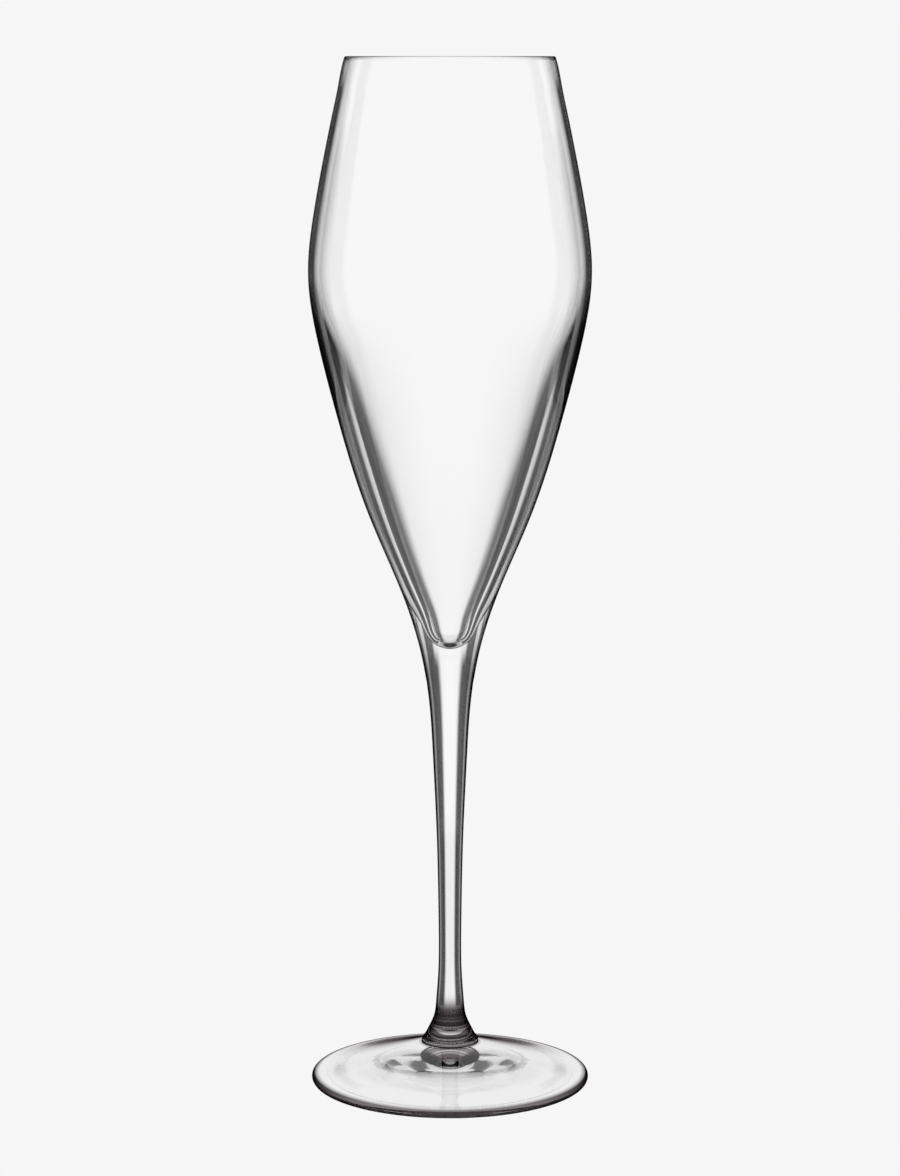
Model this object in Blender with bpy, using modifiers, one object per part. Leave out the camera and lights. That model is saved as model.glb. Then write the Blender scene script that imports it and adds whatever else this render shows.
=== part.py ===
"""Champagne flute: a thin bowl, a drawn stem and a low conical foot, fused from three pieces of clear glass.

Frame: metres, +Z up, origin at the centre of the standing ring, so z is the height above the table.
Each piece is a profile turned about Z. A profile starts on the axis at its piece's top, runs down
the outer side and ends on the axis below.
"""

import math

import bpy
import numpy as np

MM = 0.001

# Driving dimensions, in millimetres
HEIGHT = 250.0  # table to rim
RIM_RADIUS = 25.0
RIM_WALL = 1.0  # level thickness of the wall at the rim, whose edge is melted to a half round
CAVITY_BOTTOM = 108.8  # height of the tip of the hollow
THIN_WALL = 190.0  # height above which the wall is thin
BOWL_SEAM = 100.0  # height where bowl and stem are fused
FOOT_SEAM = 18.0  # height where stem and foot are fused
SEAM_GAP = 0.3  # the fused faces stay this far apart, so that each piece is its own solid
FOOT_RADIUS = 34.1
FOOT_EDGE = 1.1  # radius of the foot's rounded edge
HUB_RADIUS = 7.0  # of the hub at its base, which stands on the foot's cone
HUB_HEIGHT = 10.0  # where the flare of the hub ends
HUB_STEP = 0.5  # from there straight down to the cone
FOOT_DISH = 1.2  # power of the foot's top surface: 1 is a straight cone, more is a hollower one
STANDING_RING = (30.0, 32.6)  # inner and outer radius of the flat that meets the table
PUNT_HEIGHT = 5.0  # how far the underside rises inside the standing ring
PUNT_POWER = 1.6  # 1 is a straight cone, 2 a paraboloid
FACETS = 48  # flats round each turned piece

# Outside of bowl and stem as one curve: (height, radius), from the hub's weld to the rim
OUTSIDE = (
    (FOOT_SEAM, 3.6),
    (27.0, 2.9),
    (40.0, 2.8),  # waist of the stem
    (60.0, 3.2),
    (82.0, 4.2),
    (94.0, 5.0),
    (106.0, 6.9),  # the stem opens into the bowl
    (120.0, 11.1),
    (140.0, 19.4),
    (165.0, 27.3),
    (183.0, 31.8),
    (198.0, 33.9),  # widest
    (213.0, 32.5),
    (230.0, 29.3),
    (HEIGHT, RIM_RADIUS),
)

# Inside of the bowl, above its round tip: nearly a straight cone in thick glass, then a thin wall
INSIDE = (
    (110.0, 2.4),
    (113.0, 3.8),
    (117.0, 5.3),
    (122.0, 7.3),
    (130.0, 10.5),
    (140.0, 14.4),
    (155.0, 19.9),
    (170.0, 25.0),
    (180.0, 28.6),
    (188.0, 31.2),
    (198.0, 32.7),
    (213.0, 31.2),
    (230.0, 28.3),
    (HEIGHT, RIM_RADIUS - RIM_WALL),
)

# Flare of the hub, from its base up to the weld
HUB = ((HUB_HEIGHT, HUB_RADIUS), (12.3, 5.7), (14.3, 4.7), (16.3, 3.9), (FOOT_SEAM, 3.6))


def smooth_curve(stations):
    """Natural cubic spline through (height, radius) stations, as a function of height."""
    z, r = np.array(stations).T
    step = np.diff(z)
    slope = np.diff(r) / step
    last = len(z) - 1
    matrix, right = np.eye(last + 1), np.zeros(last + 1)
    for i in range(1, last):
        matrix[i, i - 1 : i + 2] = step[i - 1], 2 * (step[i - 1] + step[i]), step[i]
        right[i] = 6 * (slope[i] - slope[i - 1])
    bend = np.linalg.solve(matrix, right)

    def radius(height):
        i = min(max(np.searchsorted(z, height) - 1, 0), last - 1)
        up, down = height - z[i], z[i + 1] - height
        line = r[i] + slope[i] * up
        curve = bend[i] * (down**3 / step[i] - step[i] * down) + bend[i + 1] * (up**3 / step[i] - step[i] * up)
        return line + curve / 6

    return radius


def stretch(radius, start, end, count):
    """Profile points (radius, height) on a curve between two heights, both ends included."""
    return [(radius(height), height) for height in np.linspace(start, end, count)]


def arc(centre, radius, start, end, count):
    """Profile points round part of a circle, angles in degrees from the outward direction."""
    angles = np.radians(np.linspace(start, end, count))
    return [(centre[0] + radius * math.cos(a), centre[1] + radius * math.sin(a)) for a in angles]


def bowl_profile():
    outside, inside = smooth_curve(OUTSIDE), smooth_curve(INSIDE)
    lean = math.degrees(math.atan(outside(HEIGHT - 1) - outside(HEIGHT)))
    lip = RIM_WALL / 2 * math.cos(math.radians(lean))
    lip_centre = (outside(HEIGHT - lip) - RIM_WALL / 2, HEIGHT - lip)
    lip_arc = arc(lip_centre, lip, 180 + lean, 90, 5) + arc(lip_centre, lip, 90, lean, 5)[1:]
    tip = [(0.0, CAVITY_BOTTOM), (1.4, CAVITY_BOTTOM + 0.4)]
    low_inside = stretch(inside, INSIDE[0][0], THIN_WALL, 18)
    high_inside = stretch(inside, THIN_WALL, HEIGHT - 1.5, 9)[1:]
    outer = stretch(outside, HEIGHT - 1.5, BOWL_SEAM, 26)
    return tip + low_inside + high_inside + lip_arc + outer + [(0.0, BOWL_SEAM)]


def stem_profile():
    outside = smooth_curve(OUTSIDE)
    top, bottom = BOWL_SEAM - SEAM_GAP, FOOT_SEAM + SEAM_GAP
    return [(0.0, top)] + stretch(outside, top, bottom, 18) + [(0.0, bottom)]


def foot_top(r):
    """Height of the foot's upper surface between its rounded edge and the hub."""
    edge = FOOT_RADIUS - FOOT_EDGE
    rise = ((edge - r) / (edge - HUB_RADIUS)) ** FOOT_DISH
    return 2 * FOOT_EDGE + (HUB_HEIGHT - HUB_STEP - 2 * FOOT_EDGE) * rise


def foot_underside(r):
    """Height of the hollow under the foot, inside its standing ring."""
    return PUNT_HEIGHT * (1 - (r / STANDING_RING[0]) ** PUNT_POWER)


def foot_profile():
    edge = FOOT_RADIUS - FOOT_EDGE
    hub = stretch(smooth_curve(HUB), FOOT_SEAM, HUB_HEIGHT, 7)
    top = [(r, foot_top(r)) for r in np.linspace(HUB_RADIUS, edge, 8)]
    rounded_edge = arc((edge, FOOT_EDGE), FOOT_EDGE, 67.5, -67.5, 7)
    ring_inner, ring_outer = STANDING_RING
    hollow = [(r, foot_underside(r)) for r in np.linspace(ring_inner, 0.0, 8)]
    return [(0.0, FOOT_SEAM)] + hub + top + rounded_edge + [(ring_outer, 0.0)] + hollow


def clear_glass(name):
    """Colourless crystal: no roughness, full transmission."""
    material = bpy.data.materials.new(name)
    material.use_nodes = True
    shader = material.node_tree.nodes["Principled BSDF"]
    shader.inputs["Base Color"].default_value = (0.97, 0.98, 0.98, 1.0)
    shader.inputs["Roughness"].default_value = 0.0
    shader.inputs["Metallic"].default_value = 0.0
    shader.inputs["IOR"].default_value = 1.52
    shader.inputs["Transmission Weight"].default_value = 1.0
    return material


def turn(name, profile, collection):
    """Object made of a profile in the XZ plane, turned about Z by a Screw modifier."""
    mesh = bpy.data.meshes.new(name)
    points = [(r * MM, 0.0, z * MM) for r, z in profile]
    mesh.from_pydata(points, [(i, i + 1) for i in range(len(points) - 1)], [])
    mesh.materials.append(clear_glass(f"{name}_crystal"))
    piece = bpy.data.objects.new(name, mesh)
    collection.objects.link(piece)
    screw = piece.modifiers.new("turned", "SCREW")
    screw.axis = "Z"
    screw.angle = math.tau
    screw.steps = FACETS
    screw.render_steps = FACETS
    screw.use_merge_vertices = True
    screw.merge_threshold = 0.00001
    screw.use_smooth_shade = True
    return piece


def main():
    for obj in list(bpy.data.objects):
        bpy.data.objects.remove(obj)
    flute = bpy.data.collections.new("champagne_flute")
    bpy.context.scene.collection.children.link(flute)
    turn("bowl", bowl_profile(), flute)
    turn("stem", stem_profile(), flute)
    turn("foot", foot_profile(), flute)


main()
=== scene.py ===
"""Looks of the champagne flute: three pieces of clear crystal, fused, on a plain pale table.

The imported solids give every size. Each solid's outline is read from its mesh, smoothed, and turned
again with many more facets, so that the glass bends light as a polished surface does.
"""

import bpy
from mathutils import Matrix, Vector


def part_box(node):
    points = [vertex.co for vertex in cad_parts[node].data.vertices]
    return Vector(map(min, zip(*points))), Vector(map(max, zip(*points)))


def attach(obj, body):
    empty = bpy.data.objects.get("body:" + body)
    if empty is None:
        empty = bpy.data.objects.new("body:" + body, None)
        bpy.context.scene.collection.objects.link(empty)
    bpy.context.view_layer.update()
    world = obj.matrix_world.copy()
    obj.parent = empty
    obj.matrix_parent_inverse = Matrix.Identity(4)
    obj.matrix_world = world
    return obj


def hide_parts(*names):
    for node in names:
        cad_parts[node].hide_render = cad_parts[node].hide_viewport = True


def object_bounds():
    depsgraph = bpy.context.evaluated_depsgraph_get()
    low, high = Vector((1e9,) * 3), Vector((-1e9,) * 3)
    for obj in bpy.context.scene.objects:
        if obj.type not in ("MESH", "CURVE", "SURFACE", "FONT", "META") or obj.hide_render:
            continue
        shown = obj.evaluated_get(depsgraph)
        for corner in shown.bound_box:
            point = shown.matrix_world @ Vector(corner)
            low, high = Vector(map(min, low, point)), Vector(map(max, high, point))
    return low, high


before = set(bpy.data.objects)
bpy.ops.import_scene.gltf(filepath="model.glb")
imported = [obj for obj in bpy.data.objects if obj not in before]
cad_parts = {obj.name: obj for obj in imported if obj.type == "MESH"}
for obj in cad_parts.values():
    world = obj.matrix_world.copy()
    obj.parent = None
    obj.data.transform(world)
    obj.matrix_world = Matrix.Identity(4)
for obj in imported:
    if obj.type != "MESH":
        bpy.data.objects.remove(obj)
CAD_BOX = [list(corner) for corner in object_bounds()]

import math

import bpy
import numpy as np

MM = 0.001
HEIGHT = CAD_BOX[1][2]

# Fineness of the turned glass
FACETS = 192  # round the axis
LONGEST_STEP = 0.8 * MM  # along the outline
LARGEST_TURN = 3.0  # degrees between two steps of the outline
CORNER = 32.0  # degrees: an outline that turns more than this has a real edge there
ON_AXIS = 1e-6  # metres: less than this counts as nothing


# The shapes


def read_outline(node):
    """Outline of a turned CAD solid, as (radius, height) points from its upper end to its lower one."""
    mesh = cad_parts[node].data
    points = {}
    for vertex in mesh.vertices:
        x, y, z = vertex.co
        if abs(y) < ON_AXIS and x > -ON_AXIS:
            points[vertex.index] = (round(x, 7), round(z, 7))
    linked = {}
    for edge in mesh.edges:
        a, b = (points.get(i) for i in edge.vertices)
        if a and b and a != b:
            linked.setdefault(a, set()).add(b)
            linked.setdefault(b, set()).add(a)
    ends = [point for point, others in linked.items() if len(others) == 1]
    walk = [max(ends, key=lambda point: point[1])]
    while len(walk) < len(linked):
        walk.append((linked[walk[-1]] - set(walk[-2:])).pop())
    return np.array(walk)


def spline(at, points):
    """Natural cubic spline through points (one row each), as a function of the distance along them."""
    gap = np.diff(at)
    slope = np.diff(points, axis=0) / gap[:, None]
    matrix, right = np.eye(len(at)), np.zeros_like(points)
    for i in range(1, len(at) - 1):
        matrix[i, i - 1 : i + 2] = gap[i - 1], 2 * (gap[i - 1] + gap[i]), gap[i]
        right[i] = 6 * (slope[i] - slope[i - 1])
    bend = np.linalg.solve(matrix, right)

    def place(distance):
        i = np.clip(np.searchsorted(at, distance) - 1, 0, len(gap) - 1)
        before, after, width = distance - at[i], at[i + 1] - distance, gap[i]
        line = points[i] * (after / width) + points[i + 1] * (before / width)
        curve = bend[i] * (after**3 / width - width * after)
        curve = curve + bend[i + 1] * (before**3 / width - width * before)
        return line + curve / 6

    return place


def turning(points):
    """Degrees that a polyline turns by at each of its points, 0 at its ends."""
    heading = np.arctan2(*np.diff(points, axis=0).T[::-1])
    turn = np.degrees(np.abs((np.diff(heading) + math.pi) % math.tau - math.pi))
    return np.concatenate([[0.0], turn, [0.0]])


def smooth_run(run):
    """Finer points along one run of an outline that has no corner inside it."""
    if len(run) == 2:
        return run
    mirrored = run * (-1, 1)
    before = mirrored[2:0:-1] if run[0][0] < ON_AXIS else run[:0]
    after = mirrored[-2:-4:-1] if run[-1][0] < ON_AXIS else run[:0]
    through = np.concatenate([before, run, after])
    at = np.concatenate([[0.0], np.cumsum(np.linalg.norm(np.diff(through, axis=0), axis=1))])
    place, turn = spline(at, through), turning(through)
    fine = [run[0]]
    for i in range(len(before), len(before) + len(run) - 1):
        steps = math.ceil(max((at[i + 1] - at[i]) / LONGEST_STEP, max(turn[i], turn[i + 1]) / LARGEST_TURN))
        fine += [place(distance) for distance in np.linspace(at[i], at[i + 1], steps + 1)[1:]]
    return np.array(fine)


def smooth_outline(points):
    """The outline with many more points, and the places in it of its true edges."""
    corners = [i for i, turn in enumerate(turning(points)) if turn > CORNER]
    bounds = [0] + corners + [len(points) - 1]
    fine, edges = [points[0]], []
    for start, end in zip(bounds, bounds[1:]):
        fine += list(smooth_run(points[start : end + 1])[1:])
        edges.append(len(fine) - 1)
    return np.array(fine), edges[:-1]


def store(mesh, name, values):
    """Keep one number for each point of a mesh, for a material to read."""
    attribute = mesh.attributes.new(name, "FLOAT", "POINT")
    attribute.data.foreach_set("value", np.array(values, dtype=np.float32))


def add_object(name, mesh):
    piece = bpy.data.objects.new(name, mesh)
    bpy.context.scene.collection.objects.link(piece)
    return piece


def turned_mesh(name, outline, edges, seam_heights, painted_outline, painted_shade):
    """Closed mesh of an outline turned about Z. Flat faces at a seam height get the second material.

    The outline and shade functions take radius and height in millimetres: how strongly the glass shows
    painted dark outlines there, and how much painted shade darkens it.
    """
    angles = np.arange(FACETS) * math.tau / FACETS
    circle = np.stack([np.cos(angles), np.sin(angles)], axis=1)
    vertices, rings, painted_outline_strengths, painted_shade_strengths = [], [], [], []
    for radius, height in outline:
        count = 1 if radius < ON_AXIS else FACETS
        rings.append([len(vertices) + k % count for k in range(FACETS)])
        vertices += [(radius * x, radius * y, height) for x, y in circle[:count]]
        painted_outline_strengths += [painted_outline(radius / MM, height / MM)] * count
        painted_shade_strengths += [painted_shade(radius / MM, height / MM)] * count
    faces, materials, sharp_pairs = [], [], set()
    for i, (upper, lower) in enumerate(zip(rings, rings[1:])):
        ends = outline[i][1], outline[i + 1][1]
        on_seam = any(abs(ends[0] - z) + abs(ends[1] - z) < ON_AXIS for z in seam_heights)
        for k in range(FACETS):
            corners = (upper[k - 1], lower[k - 1], lower[k], upper[k])
            faces.append(tuple(dict.fromkeys(corners)))
            materials.append(1 if on_seam else 0)
    for i in edges:
        sharp_pairs |= {frozenset((rings[i][k - 1], rings[i][k])) for k in range(FACETS)}
    mesh = bpy.data.meshes.new(name)
    mesh.from_pydata(vertices, [], faces)
    mesh.shade_smooth()
    mesh.polygons.foreach_set("material_index", materials)
    sharp = mesh.attributes.new("sharp_edge", "BOOLEAN", "EDGE")
    sharp.data.foreach_set("value", [frozenset(edge.vertices) in sharp_pairs for edge in mesh.edges])
    # Painted dark outlines and painted shade, kept for the glass material to read
    store(mesh, "painted_outline", painted_outline_strengths)
    store(mesh, "painted_shade", painted_shade_strengths)
    return mesh


def glass_piece(name, node, material, painted_outline, painted_shade, top_seam=None, bottom_seam=None):
    """Polished glass that stands for a CAD node. At a seam its flat end meets its neighbour's."""
    outline = read_outline(node)
    if top_seam is not None:
        outline[0][1] = top_seam
        outline = np.concatenate([[(0.0, top_seam)], outline])
    if bottom_seam is not None:
        outline[-1][1] = bottom_seam
        outline = np.concatenate([outline, [(0.0, bottom_seam)]])
    seams = [z for z in (top_seam, bottom_seam) if z is not None]
    fine, edges = smooth_outline(outline)
    fine[:, 1] = np.clip(fine[:, 1], outline[:, 1].min(), outline[:, 1].max())
    mesh = turned_mesh(name, fine, edges, seams, painted_outline, painted_shade)
    mesh.materials.append(material)
    mesh.materials.append(fused_face())
    piece = add_object(name, mesh)
    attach(piece, "root")
    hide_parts(node)


# The glass


def new_material(name):
    material = bpy.data.materials.new(name)
    material.use_nodes = True
    return material, material.node_tree, material.node_tree.nodes["Principled BSDF"]


def fused_face():
    """Where two pieces are fused there is no surface: light goes straight on."""
    found = bpy.data.materials.get("fused_face")
    if found:
        return found
    material, _, shader = new_material("fused_face")
    shader.inputs["Alpha"].default_value = 0.0
    return material


CRYSTAL_IOR = 1.52
CLEAR = (0.985, 0.985, 0.985, 1.0)  # colour of the glass

# Painted shade: a tint darkens light that grazes a surface of the glass and so draws dark outlines, in
# place of the dark surroundings that glass shows edge on. Each pair says where the tint starts, from 0 face
# on to 1 edge on, and the tint that is reached edge on.
WHITE = (1.0, 1.0, 1.0, 1.0)
DISC_PAINTED_OUTLINE = (0.80, (0.88, 0.87, 0.875, 1.0))  # where the foot is not outlined
THIN_PAINTED_OUTLINE = (0.62, (0.50, 0.49, 0.495, 1.0))  # where bowl and stem are not outlined
STRONG_PAINTED_OUTLINE = (0.06, (0.05, 0.04, 0.045, 1.0))  # where any piece is fully outlined

# Painted outline strengths at heights or radii, in millimetres
BOWL_PAINTED_OUTLINE = ((102.0, 112.0, 165.0, 190.0), (1.0, 0.18, 0.18, 0.0))
RIM_PAINTED_OUTLINE = ((249.0, 249.5), (0.0, 0.4))
HUB_PAINTED_OUTLINE = ((10.0, 12.0), (0.0, 1.0))
EDGE_PAINTED_OUTLINE = ((32.6, 33.4), (0.0, 0.5))  # by radius

# Painted shade: a dark tint on the thick, closed-in glass of the hub and of the foot's edge
PAINTED_SHADE_TINT = (0.22, 0.20, 0.21, 1.0)
HUB_PAINTED_SHADE = ((9.4, 9.8, 17.0, 20.5), (0.0, 1.0, 1.0, 0.0))  # by height
HUB_RINGS = ((10.3, 0.8), (11.6, 0.9), (12.7, 0.7), (13.8, 1.0))  # clear rings: (height, strength)
HUB_RING_SPREAD = 0.22
EDGE_PAINTED_SHADE = ((33.3, 33.7), (0.03, 0.9))  # by radius: a trace on the disc, which only shows edge on

# Unevenness of the surface, as bumps
WAVE_HEIGHT = 0.1 * MM  # at strength 1
WAVES = ((70.0, 1.0), (420.0, 0.35))  # (scale, share of the strength): long soft waves, finer orange peel
BOWL_WAVES, STEM_WAVES, FOOT_WAVES = 0.05, 0.10, 0.12  # strengths


def stored(tree, name):
    """The number that a mesh keeps under this name at each of its points."""
    node = tree.nodes.new("ShaderNodeAttribute")
    node.attribute_name = name
    return node.outputs["Fac"]


def mixed_tint(tree, share, first, second):
    """Colour between two others: only the first where share is 0, only the second where it is 1."""
    mix = tree.nodes.new("ShaderNodeMix")
    mix.data_type = "RGBA"
    colours = [socket for socket in mix.inputs if socket.type == "RGBA"]
    for socket, colour in zip(colours, (first, second)):
        if isinstance(colour, tuple):
            socket.default_value = colour
        else:
            tree.links.new(colour, socket)
    tree.links.new(share, mix.inputs["Factor"])
    return [socket for socket in mix.outputs if socket.type == "RGBA"][0]


def painted_outline_tint(tree, facing, start, tint):
    """Painted shade of an outline: no tint until the surface turns away by start, then more of it until
    edge on.
    """
    ramp = tree.nodes.new("ShaderNodeValToRGB")
    clear, dark = ramp.color_ramp.elements
    clear.position, clear.color = start, WHITE
    dark.position, dark.color = 1.0, tint
    tree.links.new(facing, ramp.inputs["Fac"])
    return ramp.outputs["Color"]


def add_waves(tree, shader, strength):
    """The faint unevenness of hand-worked glass."""
    place = tree.nodes.new("ShaderNodeTexCoord").outputs["Object"]
    normal = None
    for scale, share in WAVES:
        noise = tree.nodes.new("ShaderNodeTexNoise")
        noise.inputs["Scale"].default_value = scale
        noise.inputs["Detail"].default_value = 1.0
        tree.links.new(place, noise.inputs["Vector"])
        bump = tree.nodes.new("ShaderNodeBump")
        bump.inputs["Strength"].default_value = strength * share
        bump.inputs["Distance"].default_value = WAVE_HEIGHT
        tree.links.new(noise.outputs["Fac"], bump.inputs["Height"])
        if normal:
            tree.links.new(normal, bump.inputs["Normal"])
        normal = bump.outputs["Normal"]
    tree.links.new(normal, shader.inputs["Normal"])


def crystal(name, waves, faint):
    """Clear crystal with painted dark outlines and painted shade, as strong as the mesh's stored numbers
    say.

    The coat reflects nothing. It is only there for its tint, which paints the shade.
    """
    material, tree, shader = new_material(name)
    shader.inputs["Base Color"].default_value = CLEAR
    shader.inputs["Roughness"].default_value = 0.0
    shader.inputs["IOR"].default_value = CRYSTAL_IOR
    shader.inputs["Transmission Weight"].default_value = 1.0
    shader.inputs["Coat Weight"].default_value = 1.0
    shader.inputs["Coat IOR"].default_value = 1.0
    # Painted shade: the facing darkens the coat tint towards edge on, and the stored painted shade darkens
    # it further
    weight = tree.nodes.new("ShaderNodeLayerWeight")
    weight.inputs["Blend"].default_value = 0.5
    outlines = [painted_outline_tint(tree, weight.outputs["Facing"], *pair) for pair in (faint, STRONG_PAINTED_OUTLINE)]
    outline = mixed_tint(tree, stored(tree, "painted_outline"), *outlines)
    tint = mixed_tint(tree, stored(tree, "painted_shade"), outline, PAINTED_SHADE_TINT)
    tree.links.new(tint, shader.inputs["Coat Tint"])
    add_waves(tree, shader, waves)
    return material


def bowl_painted_outline(radius, height):
    """Painted outline: strong on the solid glass at the bottom, faint on the thin wall, and clear to see at
    the rim.
    """
    return max(np.interp(height, *BOWL_PAINTED_OUTLINE), np.interp(height, *RIM_PAINTED_OUTLINE))


# The stem's painted outline is strong all over.
def stem_painted_outline(radius, height):
    return 1.0


def foot_painted_outline(radius, height):
    """Painted outline: strong on the hub and the rounded edge, none on the disc between them."""
    return max(np.interp(radius, *EDGE_PAINTED_OUTLINE), np.interp(height, *HUB_PAINTED_OUTLINE))


# The bowl has no painted shade.
def bowl_painted_shade(radius, height):
    return 0.0


def hub_painted_shade(radius, height):
    """Painted shade: the hub is darkened, with clear rings round it where the shade is left out."""
    dark = np.interp(height, *HUB_PAINTED_SHADE)
    for ring, strength in HUB_RINGS:
        dark *= 1 - strength * math.exp(-(((height - ring) / HUB_RING_SPREAD) ** 2))
    return float(dark)


def foot_painted_shade(radius, height):
    """Painted shade as on the hub, and on the rounded edge as well."""
    return max(hub_painted_shade(radius, height), float(np.interp(radius, *EDGE_PAINTED_SHADE)))


def make_flute():
    """One visual piece for each solid. The fused faces meet at the bowl's lower end and the foot's top."""
    bowl_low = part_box("bowl")[0].z
    foot_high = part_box("foot")[1].z
    bowl = crystal("bowl_crystal", BOWL_WAVES, THIN_PAINTED_OUTLINE)
    stem = crystal("stem_crystal", STEM_WAVES, THIN_PAINTED_OUTLINE)
    foot = crystal("foot_crystal", FOOT_WAVES, DISC_PAINTED_OUTLINE)
    glass_piece("crystal_bowl", "bowl", bowl, bowl_painted_outline, bowl_painted_shade, bottom_seam=bowl_low)
    glass_piece("crystal_stem", "stem", stem, stem_painted_outline, hub_painted_shade, bowl_low, foot_high)
    glass_piece("crystal_foot", "foot", foot, foot_painted_outline, foot_painted_shade, top_seam=foot_high)


make_flute()


# The stage: a plain pale floor and background for the camera, and round the glass a tent of soft light
# with its own table, which the camera doesn't see. All of it stays where it is in every view.

PALE = 0.9216  # linear light of the floor and of the background
FLOOR_REACH, FLOOR_LEVEL = 40.0, -0.001  # metres
TENT_RADIUS, TENT_WALL, TENT_TOP = 0.4, 0.5, 0.7  # metres
TENT_RINGS, DOME_RINGS = 101, 10
DOME_REACH = 0.6  # metres: the height whose light the dome has
TIP = 0.0001  # metres: radius of the hole at the top of the tent and in the middle of its table
FINE_TABLE = (0.002, 0.06)  # metres: the rings' spacing under the glass, and how far it goes
COARSE_TABLE = 0.01
WHOLE_ROUND = (0.0, 180.0, 1.0, -1.0, 2.00)
LIGHT_BOUNCES = 32

# A light or a flag, whose light is negative, is a patch with soft edges: (centre, half width, fade) in
# degrees round the glass from straight behind it, positive to the right, then (low, high, fade) in
# metres, then its light. On the table, low and high are distances from the axis.
WALL_LIGHT = (*WHOLE_ROUND, 0.10, 0.955)
LOW_FLAGS = ((29.0, 8.0, 9.0, -1.0, 0.12, 0.05, -0.90), (61.0, 8.0, 3.0, -1.0, 0.12, 0.05, -0.90))
HIGH_FLAGS = ((31.0, 6.0, 5.0, 0.17, 0.27, 0.05, -0.85), (61.0, 8.0, 3.0, 0.17, 0.27, 0.05, -0.85))
TABLE_LIGHT = (*WHOLE_ROUND, 0.010, 0.93)
TABLE_SHADE = (0.0, 25.0, 10.0, 0.10, 0.30, 0.08, -0.08)
TABLE_FLAGS = ((29.0, 8.0, 9.0, 0.052, 2.00, 0.015, -0.85), (61.0, 8.0, 3.0, 0.052, 2.00, 0.015, -0.85))

# The camera: at the height of the rim, looking down at the middle of the glass
CAMERA_DISTANCE = 3.36 * HEIGHT
CAMERA_TILT = 8.62  # degrees below level
SENSOR_WIDTH, LENS = 36.0, 107.4  # millimetres
NEAREST, FARTHEST = 0.01, 50.0  # metres


def both_sides(flags):
    """Each flag on the left of the glass, then each on its right."""
    return [(side * centre, *rest) for side in (-1, 1) for centre, *rest in flags]


def soft_edge(beyond, fade):
    """1 inside an edge, falling smoothly to 0 over fade beyond it."""
    t = min(max(1 - beyond / fade, 0), 1)
    return t * t * (3 - 2 * t)


def patch_light(patches, azimuth, reach):
    """Light of all patches together, at degrees round the glass and a height or distance."""
    light = 0.0
    for centre, half_width, side_fade, low, high, end_fade, strength in patches:
        aside = abs((azimuth - centre + 180) % 360 - 180)
        side = soft_edge(aside - half_width, side_fade)
        light += strength * side * soft_edge(max(low - reach, reach - high), end_fade)
    return light


def glowing(name):
    """Material that gives off the pale light, and the shader that does, for another strength."""
    material, tree, shader = new_material(name)
    tree.nodes.remove(shader)
    glow = tree.nodes.new("ShaderNodeEmission")
    glow.inputs["Strength"].default_value = PALE
    tree.links.new(glow.outputs["Emission"], tree.nodes["Material Output"].inputs["Surface"])
    material.cycles.emission_sampling = "NONE"
    return material, glow


def stage_piece(name, vertices, faces, material):
    mesh = bpy.data.meshes.new(name)
    mesh.from_pydata(vertices, [], faces)
    mesh.materials.append(material)
    mesh.shade_smooth()
    piece = add_object(name, mesh)
    return piece


def make_floor():
    far, level = FLOOR_REACH, FLOOR_LEVEL
    corners = [(-far, -far, level), (far, -far, level), (far, far, level), (-far, far, level)]
    material, _ = glowing("pale_floor")
    stage_piece("floor", corners, [(0, 1, 2, 3)], material)


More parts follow.
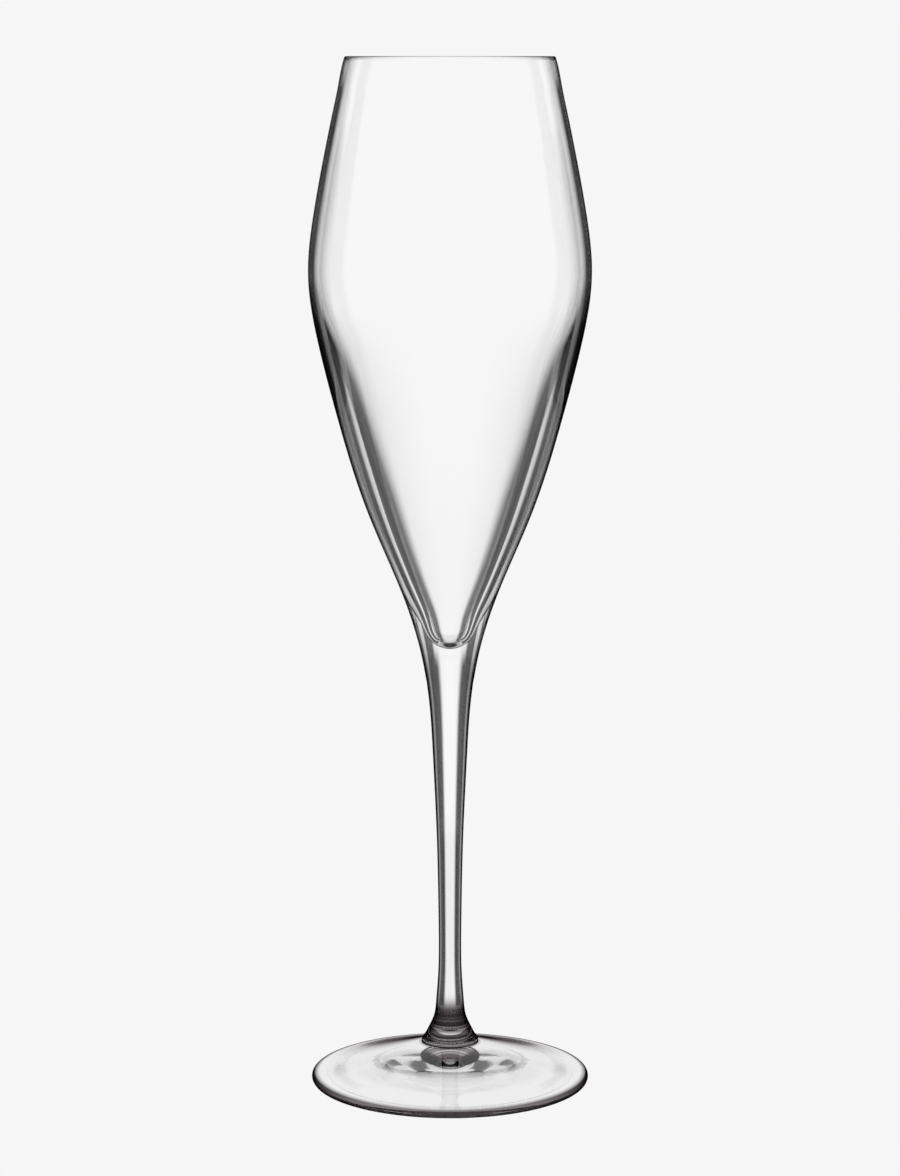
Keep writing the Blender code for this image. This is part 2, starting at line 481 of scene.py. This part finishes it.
def lathe_light(name, profile, patches):
    """Stage surface that only the glass sees, turned about Z, from (radius, z, reach) rings.

    The light of a ring's points is that of the patches at its reach, and is stored in the mesh.
    """
    angles = np.arange(-180, 180)
    vertices, lights = [], []
    for radius, z, reach in profile:
        for angle in angles:
            turn = math.radians(angle)
            vertices.append((radius * math.sin(turn), radius * math.cos(turn), z))
            lights.append(patch_light(patches, angle, reach))
    count = len(angles)
    faces = []
    for lower in range(0, (len(profile) - 1) * count, count):
        upper = lower + count
        for k in range(count):
            before = (k - 1) % count
            faces.append((lower + before, lower + k, upper + k, upper + before))
    material, glow = glowing(name)
    material.node_tree.links.new(stored(material.node_tree, "light"), glow.inputs["Strength"])
    piece = stage_piece(name, vertices, faces, material)
    store(piece.data, "light", lights)
    piece.visible_camera = False


def make_tent():
    wall = [(TENT_RADIUS, z, z) for z in np.linspace(0, TENT_WALL, TENT_RINGS)]
    for angle in np.linspace(0, math.pi / 2, DOME_RINGS)[1:]:
        radius = TENT_RADIUS * math.cos(angle) + TIP
        wall.append((radius, TENT_WALL + (TENT_TOP - TENT_WALL) * math.sin(angle), DOME_REACH))
    lathe_light("light_tent", wall, [WALL_LIGHT] + both_sides(LOW_FLAGS) + both_sides(HIGH_FLAGS))
    spacing, near = FINE_TABLE
    radii = [TIP, *np.arange(spacing, near, spacing), *np.arange(near, TENT_RADIUS + 0.001, COARSE_TABLE)]
    table = [(r, 0.0, r) for r in radii]
    lathe_light("light_table", table, [TABLE_LIGHT, TABLE_SHADE] + both_sides(TABLE_FLAGS))


def make_camera():
    data = bpy.data.cameras.new("camera")
    data.sensor_width, data.lens = SENSOR_WIDTH, LENS
    data.clip_start, data.clip_end = NEAREST, FARTHEST
    camera = add_object("camera", data)
    camera.location = (0.0, -CAMERA_DISTANCE, HEIGHT)
    camera.rotation_euler = (math.radians(90 - CAMERA_TILT), 0.0, 0.0)
    bpy.context.scene.camera = camera


def set_render():
    """The pale background, colours as they are, and enough bounces for light to get out of the glass."""
    scene = bpy.context.scene
    scene.view_settings.view_transform = "Standard"
    scene.world = bpy.data.worlds.new("world")
    scene.world.use_nodes = True
    background = scene.world.node_tree.nodes["Background"]
    background.inputs["Color"].default_value = WHITE
    background.inputs["Strength"].default_value = PALE
    scene.cycles.max_bounces = LIGHT_BOUNCES
    scene.cycles.transmission_bounces = LIGHT_BOUNCES
    scene.cycles.glossy_bounces = LIGHT_BOUNCES
    scene.cycles.transparent_max_bounces = LIGHT_BOUNCES


make_floor()
make_tent()
make_camera()
set_render()
